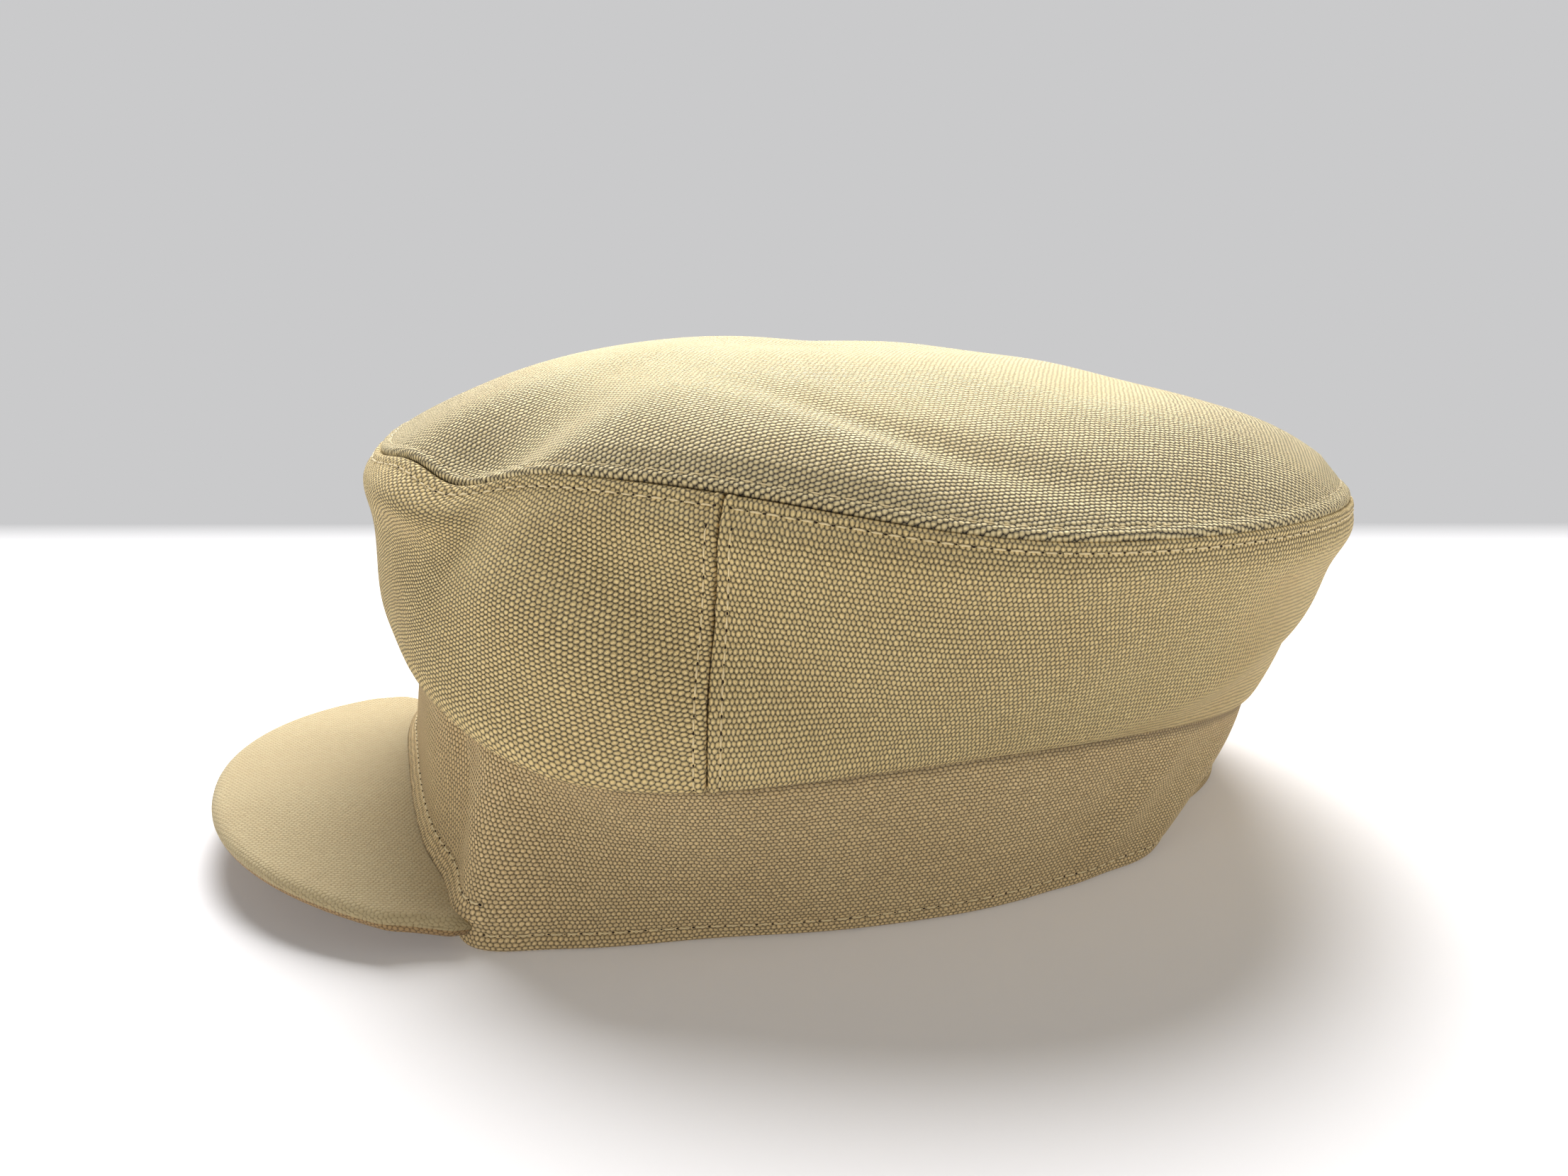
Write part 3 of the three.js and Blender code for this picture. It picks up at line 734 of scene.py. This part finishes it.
# The band's duck is a slightly darker copy of the crown's, as painted shade under the crown, and it
# darkens near its top as painted shade under the crown's overhanging edge
band_duck_painted_shade = duck("band_duck_painted_shade", spacing=0.8, pitch=1.0, lines_run_up=False,
                 light=colour(248, 221, 165), shade=colour(222, 190, 134), pit_shade_colour=colour(82, 60, 34),
                 pit_shade_heights=(0.26, 0.84), overhang_shade_heights=(34.8, 36.8))


def band_point(angle, height):
    """The band from its hem at height 0 to the crown's seam at height 1, and the way out of it."""
    low = ring_point(HEM, angle)
    from_front = np.minimum(1, np.abs((angle + 180) % 360 - 180) / PEAK_CORNER)
    low[..., 2] += HEM_ARCH * (1 - from_front ** 2) ** 2
    high = ring_point(BAND_TOP, angle)
    share = height[..., None]
    way = unit(ring_normal(HEM, angle) * (1 - share) + ring_normal(BAND_TOP, angle) * share)
    out = (1 - height ** BAND_FOLD_POWER) * folds_at(BAND_FOLDS, angle, height)
    return low + (high - low) * share + way * out[..., None], way


def fold_round(distance):
    """How far a folded edge draws in, as its cloth turns under."""
    inside = np.clip(1 - distance / HEM_ROUND, 0, 1)
    return -HEM_ROUND * (1 - np.sqrt(1 - inside ** 2))


band_up = graded(BAND_LENGTH, BAND_STEP, margin=5, fine=14)
hem_angles = np.linspace(0, 360, HEM_PLACES)
hem_lengths = arc_lengths(ring_point(HEM, hem_angles))
band_angle, band_height = np.meshgrid(
    np.arange(BAND_COLUMNS) * 360 / BAND_COLUMNS, band_up / BAND_LENGTH)
band_base, band_way = band_point(band_angle, band_height)
band_across = np.interp(band_angle[0], hem_angles, hem_lengths)
up = np.broadcast_to(band_up[:, None], band_angle.shape)
aside = (band_angle + 180) % 360 - 180
by_peak = 1 / (1 + np.exp((np.abs(aside) - PEAK_CORNER) / STRIP_END))
above_peak = up - PEAK["over_hem"] - PEAK["thickness"] + JOINT_SINK

# The hem is folded, padded and stitched, and along the peak the joint's strip takes its place
hem_out = HEM_PADDED["depth"] * bump(up - HEM_PADDED["at"], HEM_PADDED["spread"])
hem_out = hem_out - STITCH_GROOVE["depth"] * bump(up - HEM_STITCH, STITCH_GROOVE["spread"])
strip = np.clip(1 - above_peak / JOINT_STRIP, 0, 1) ** STRIP_POWER * np.clip(1 + above_peak, 0, 1)
joint_groove = STITCH_GROOVE["depth"] * bump(above_peak - JOINT_STRIP, STITCH_GROOVE["spread"])
band_out = fold_round(up) + (1 - by_peak) * hem_out + by_peak * (STRIP_OUT * strip - joint_groove)
settled = 1 - np.exp(-up / BAND_UNEVEN["from_hem"])
settled = settled * (1 - np.exp(-(BAND_LENGTH - up) / BAND_UNEVEN["from_seam"]))
band_out = band_out + BAND_UNEVEN["depth"] * settled * soft_waves(
    band_across[None, :], band_up[:, None], BAND_UNEVEN["longest"], BAND_UNEVEN["shortest"])
band_face = band_base + band_way * band_out[..., None]
band_inner = band_base - band_way * (CLOTH + fold_round(up))[..., None]
band_grain = np.stack(np.broadcast_arrays(
    np.append(band_across, hem_lengths[-1])[None, :], band_up[:, None]), -1)
band = cloth_piece("band_cloth", band_face, band_inner, band_grain, closed=True)
band.data.materials.append(band_duck_painted_shade)
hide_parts("band")
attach(band, "root")

band_line = line_at(band_face, band_up, HEM_STITCH)
band_line_way = line_at(band_way, band_up, HEM_STITCH)
free_hem = np.abs(aside[0]) > SEWN_CORNER
stitch_row("hem_stitches", band_line[free_hem], band_line_way[free_hem], bold=0.8)
joint_height = PEAK["over_hem"] + PEAK["thickness"] - JOINT_SINK + JOINT_STITCH
by_joint = np.argsort(aside[0])
by_joint = by_joint[np.abs(aside[0][by_joint]) < SEWN_CORNER]
joint_way = line_at(band_way, band_up, joint_height)
joint_line = line_at(band_face, band_up, joint_height) + JOINT_LIFT * joint_way
stitch_row("joint_stitches", joint_line[by_joint], joint_way[by_joint], bold=1.2)

# The peak: a stiff board between two layers of duck, drawn smooth over a soft round rim. It is
# sewn to the front of the band just above the hem and rises slightly towards its tip.
PEAK_SPAN = 46
PEAK_STEP = 1.1
PEAK_COLUMNS = 150
RIM_ROUND = 2.6
WRAP_SHARE = 0.95
LEAST_DISTANCE, MOST_ROUND, CORNER_POWER = 1e-3, 0.995, 3
FAR_CORNER_PULL = 0.2
JOINT_TURN, JOINT_TURN_WIDTH = 0.5, 0.45
PEAK_UNEVEN = dict(depth=0.25, longest=80, shortest=40, from_edge=10, from_joint=8)

# The peak's upper duck is a much darker copy of the crown's: painted shade
peak_duck_painted_shade = duck("peak_duck_painted_shade", spacing=0.85, pitch=1.0, lines_run_up=True, bead_height=0.0003,
                 light=colour(180, 165, 126), shade=colour(169, 149, 108), pit_shade_colour=colour(117, 94, 59),
                 pit_shade_heights=(0.15, 0.6))
# The peak's underside is a darker, browner copy of the same duck: painted shade under the peak
peak_under_duck_painted_shade = duck(
    "peak_under_duck_painted_shade", spacing=0.85, pitch=1.0, lines_run_up=True, bead_height=0.0003,
    light=colour(176, 146, 100), shade=colour(152, 122, 80), pit_shade_colour=colour(84, 60, 34))


def peak_middle(angle, reach):
    """Half-way between the peak's faces, from the band's wall at reach 0 to the rim at reach 1.
    It comes once for the upper and once for the lower face, because the wall leans between
    them."""
    share = angle / PEAK_CORNER
    depth = PEAK["front"] - PEAK["oval_middle"]
    corner_sine = (PEAK["corner_x"] / PEAK["half_width"]) ** (PEAK["square"] / 2)
    sine = np.sin(share * math.asin(corner_sine))
    cosine = np.sqrt(1 - sine ** 2)
    rim = np.stack([
        PEAK["half_width"] * np.sign(sine) * np.abs(sine) ** (2 / PEAK["square"]),
        PEAK["oval_middle"] + depth * cosine ** (2 / PEAK["square"]),
        PEAK["z_tip"] + (PEAK["z_corner"] - PEAK["z_tip"]) * share ** 2,
    ], -1)
    near_corner = np.maximum(0, np.abs(share) - PEAK["corner_share"]) / (1 - PEAK["corner_share"])
    faces = []
    for side in (1, -1):
        seat = np.full(angle.shape, PEAK["seat_height"] + side * PEAK["seat_spread"])
        wall, way = band_point(angle, seat)
        wall = wall + way * SEAM_GAP
        wall[..., 2] = band_point(angle, 0 * seat)[0][..., 2] + PEAK["over_hem"] + PEAK["thickness"] / 2
        pull = np.where(share > 0, PEAK["corner_pull"], FAR_CORNER_PULL)
        pulled = rim + (wall - rim) * (pull * near_corner)[..., None]
        faces.append(wall + (pulled - wall) * reach[..., None])
    return faces


from_peak_rim = graded(PEAK_SPAN, PEAK_STEP, margin=5, fine=14)
peak_angle, peak_reach = np.meshgrid(
    np.linspace(-PEAK_CORNER, PEAK_CORNER, PEAK_COLUMNS), 1 - from_peak_rim / PEAK_SPAN)
peak_upper, peak_lower = peak_middle(peak_angle, peak_reach)
rim_steps = np.linalg.norm(np.diff(peak_upper, axis=0), axis=-1)
to_peak_rim = np.concatenate([np.zeros((1, PEAK_COLUMNS)), np.cumsum(rim_steps, axis=0)])
to_joint = to_peak_rim[-1:] - to_peak_rim
side_steps = np.linalg.norm(np.diff(peak_upper, axis=1), axis=-1)
to_end = np.concatenate([np.zeros((len(from_peak_rim), 1)), np.cumsum(side_steps, axis=1)], 1)
to_end = np.minimum(to_end, to_end[:, -1:] - to_end)
by_rim = np.maximum(to_peak_rim, LEAST_DISTANCE) ** -CORNER_POWER
by_end = np.maximum(to_end, LEAST_DISTANCE) ** -CORNER_POWER
to_edge = (by_rim + by_end) ** (-1 / CORNER_POWER)
inside_round = np.clip(1 - to_edge / RIM_ROUND, 0, MOST_ROUND)
half_thick = PEAK["thickness"] / 2 * np.sqrt(1 - inside_round ** 2)
joint_turn = -JOINT_TURN * np.exp(-to_joint / JOINT_TURN_WIDTH)
slack = PEAK_UNEVEN["depth"] * soft_waves(
    peak_upper[..., 0], peak_upper[..., 1], PEAK_UNEVEN["longest"], PEAK_UNEVEN["shortest"])
slack = slack * (1 - np.exp(-to_edge / PEAK_UNEVEN["from_edge"]))
slack = slack * (1 - np.exp(-to_joint / PEAK_UNEVEN["from_joint"]))

# The cloth's grain bends over the rim, so its lines are stretched there by the length they wrap
wrap = RIM_ROUND * (np.arcsin(inside_round) * WRAP_SHARE - inside_round)
rim_run = np.gradient(peak_upper[:1], axis=1) * [1, 1, 0]
to_rim_way = unit(np.cross(rim_run, [0, 0, 1.0]))
peak_grain = (peak_upper + to_rim_way * wrap[..., None])[..., :2]
peak_upper[..., 2] += half_thick + joint_turn + slack
peak_lower[..., 2] -= half_thick
peak = cloth_piece("peak_cloth", peak_upper, peak_lower, peak_grain)
peak.data.materials.append(peak_duck_painted_shade)
peak.data.materials.append(peak_under_duck_painted_shade)
upper_faces = (len(from_peak_rim) - 1) * (PEAK_COLUMNS - 1)
is_under = np.zeros(len(peak.data.polygons), np.int32)
is_under[upper_faces:2 * upper_faces] = 1
peak.data.polygons.foreach_set("material_index", is_under)
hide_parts("peak")
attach(peak, "root")

# The place where the cap is shown: a pale matt surface that turns grey behind the cap and curves
# up all round into a low grey screen.
FLOOR_DROP = 0.0002
SCREEN_REACH, SCREEN_CURVE, SCREEN_HEIGHT = 1.9, 0.5, 1.0
SCREEN_SIDES, SCREEN_BENDS = 96, 16
FLOOR_WHITE = colour(233, 231, 230)
# The pale floor's faint glow is painted light: it lifts the cap's shadow on the floor and lights the cap
# from below
FLOOR_FILL_GLOW = 0.15
SCREEN_GREY = colour(202, 202, 203)

# The way the camera looks, level and counted from +X, the distances along it between which the
# surface turns grey, and the squares of the distances in any way between which it does so too
BEHIND = math.radians(161.93)
WHITE_UNTIL, GREY_FROM = 0.17, 0.3
FAR_OFF = (0.5, 1.4)

screen_profile = [(0, 0), (SCREEN_REACH - SCREEN_CURVE, 0)]
for step in range(1, SCREEN_BENDS + 1):
    bend = step / SCREEN_BENDS * math.pi / 2
    screen_profile.append((SCREEN_REACH - SCREEN_CURVE + SCREEN_CURVE * math.sin(bend),
                           SCREEN_CURVE - SCREEN_CURVE * math.cos(bend)))
screen_profile.append((SCREEN_REACH, SCREEN_HEIGHT))
screen_points = [(0, 0, -FLOOR_DROP)]
for reach, height in screen_profile[1:]:
    for turn in np.arange(SCREEN_SIDES) * 2 * math.pi / SCREEN_SIDES:
        screen_points.append((reach * math.cos(turn), reach * math.sin(turn), height - FLOOR_DROP))
screen_faces = [(0, 1 + spot, 1 + (spot + 1) % SCREEN_SIDES) for spot in range(SCREEN_SIDES)]
for ring in range(len(screen_profile) - 2):
    low, high = 1 + ring * SCREEN_SIDES, 1 + (ring + 1) * SCREEN_SIDES
    for spot in range(SCREEN_SIDES):
        following = (spot + 1) % SCREEN_SIDES
        screen_faces.append((low + spot, high + spot, high + following, low + following))
floor_mesh = bpy.data.meshes.new("pale_floor")
floor_mesh.from_pydata(screen_points, [], screen_faces)
floor_mesh.shade_smooth()
floor = bpy.data.objects.new("pale_floor", floor_mesh)
bpy.context.scene.collection.objects.link(floor)

floor_shader = Shader("pale_floor", Roughness=0.8, Specular_IOR_Level=0)
floor_place = floor_shader.node("ShaderNodeTexCoord", output=3)
floor_split = floor_shader.tree.nodes.new("ShaderNodeSeparateXYZ")
floor_shader.tree.links.new(floor_place, floor_split.inputs[0])
behind = floor_shader.math(
    "ADD", floor_shader.math("MULTIPLY", floor_split.outputs[0], math.cos(BEHIND)),
    floor_shader.math("MULTIPLY", floor_split.outputs[1], math.sin(BEHIND)))
distance_squared = floor_shader.math(
    "ADD", floor_shader.math("POWER", floor_split.outputs[0], 2.0),
    floor_shader.math("POWER", floor_split.outputs[1], 2.0))
far_off = floor_shader.mapped(distance_squared, *FAR_OFF, 0.0, 1.0)
far_behind = floor_shader.mapped(behind, WHITE_UNTIL, GREY_FROM, 0.0, 1.0)
greyness = floor_shader.math("MAXIMUM", far_behind, far_off)
floor_tone = floor_shader.mixed(greyness, FLOOR_WHITE, (0, 0, 0, 1))
floor_shader.tree.links.new(floor_tone, floor_shader.surface.inputs["Base Color"])
floor_shader.surface.inputs["Emission Color"].default_value = SCREEN_GREY
# Painted light on the pale floor, rising to the grey screen's even glow
fill_and_screen_glow = floor_shader.mapped(greyness, 0.0, 1.0, FLOOR_FILL_GLOW, 1.0)
floor_shader.tree.links.new(fill_and_screen_glow, floor_shader.surface.inputs["Emission Strength"])
floor_mesh.materials.append(floor_shader.material)

# The light: a wide soft window above and behind the cap, a weak warm lamp near its peak and one
# near its back, and faint warm light from all round.
AIR_TINT = (1, 0.93, 0.85, 1)
AIR_STRENGTH = 0.157


def soft_lamp(name, place, aim, size, power, tint):
    lamp = bpy.data.lights.new(name, "AREA")
    lamp.shape = "DISK"
    lamp.size = size
    lamp.energy = power
    lamp.color = tint
    holder = bpy.data.objects.new(name, lamp)
    bpy.context.scene.collection.objects.link(holder)
    holder.location = place
    towards = np.array(aim) - np.array(place)
    spin = math.atan2(towards[1], towards[0]) - math.pi / 2
    tilt = math.atan2(math.hypot(towards[0], towards[1]), -towards[2])
    holder.rotation_euler = (tilt, 0, spin)


soft_lamp("window_light", place=(-0.9, 0.24, 1.08), aim=(0, 0, 0.05),
          size=1.5, power=64, tint=(0.98, 0.99, 1.02))
soft_lamp("peak_side_light", place=(0.62, -1.16, 0.18), aim=(0, 0, 0.03),
          size=0.8, power=3.8, tint=(1, 0.95, 0.88))
soft_lamp("back_side_light", place=(0.36, 1.24, 0.3), aim=(0, 0, 0.05),
          size=0.8, power=4.2, tint=(1, 0.95, 0.88))

air = bpy.data.worlds.new("warm_air")
air.use_nodes = True
air.node_tree.nodes["Background"].inputs[0].default_value = AIR_TINT
air.node_tree.nodes["Background"].inputs[1].default_value = AIR_STRENGTH
bpy.context.scene.world = air
bpy.context.scene.view_settings.view_transform = "Standard"

# The camera: close in front of the wearer's left side, a little above the cap.
CAMERA_PLACE = (0.28944, -0.09488, 0.12678)
CAMERA_DOWN, CAMERA_ROLL = 14.73, 0.05
CAMERA_LENS, SENSOR_WIDTH = 29.683, 36
NEAREST_SEEN = 0.01

lens = bpy.data.cameras.new("camera")
lens.lens = CAMERA_LENS
lens.sensor_width = SENSOR_WIDTH
lens.clip_start = NEAREST_SEEN
camera = bpy.data.objects.new("camera", lens)
bpy.context.scene.collection.objects.link(camera)
camera.location = CAMERA_PLACE
camera.rotation_euler = (math.radians(90 - CAMERA_DOWN), math.radians(CAMERA_ROLL), BEHIND - math.pi / 2)
bpy.context.scene.camera = camera
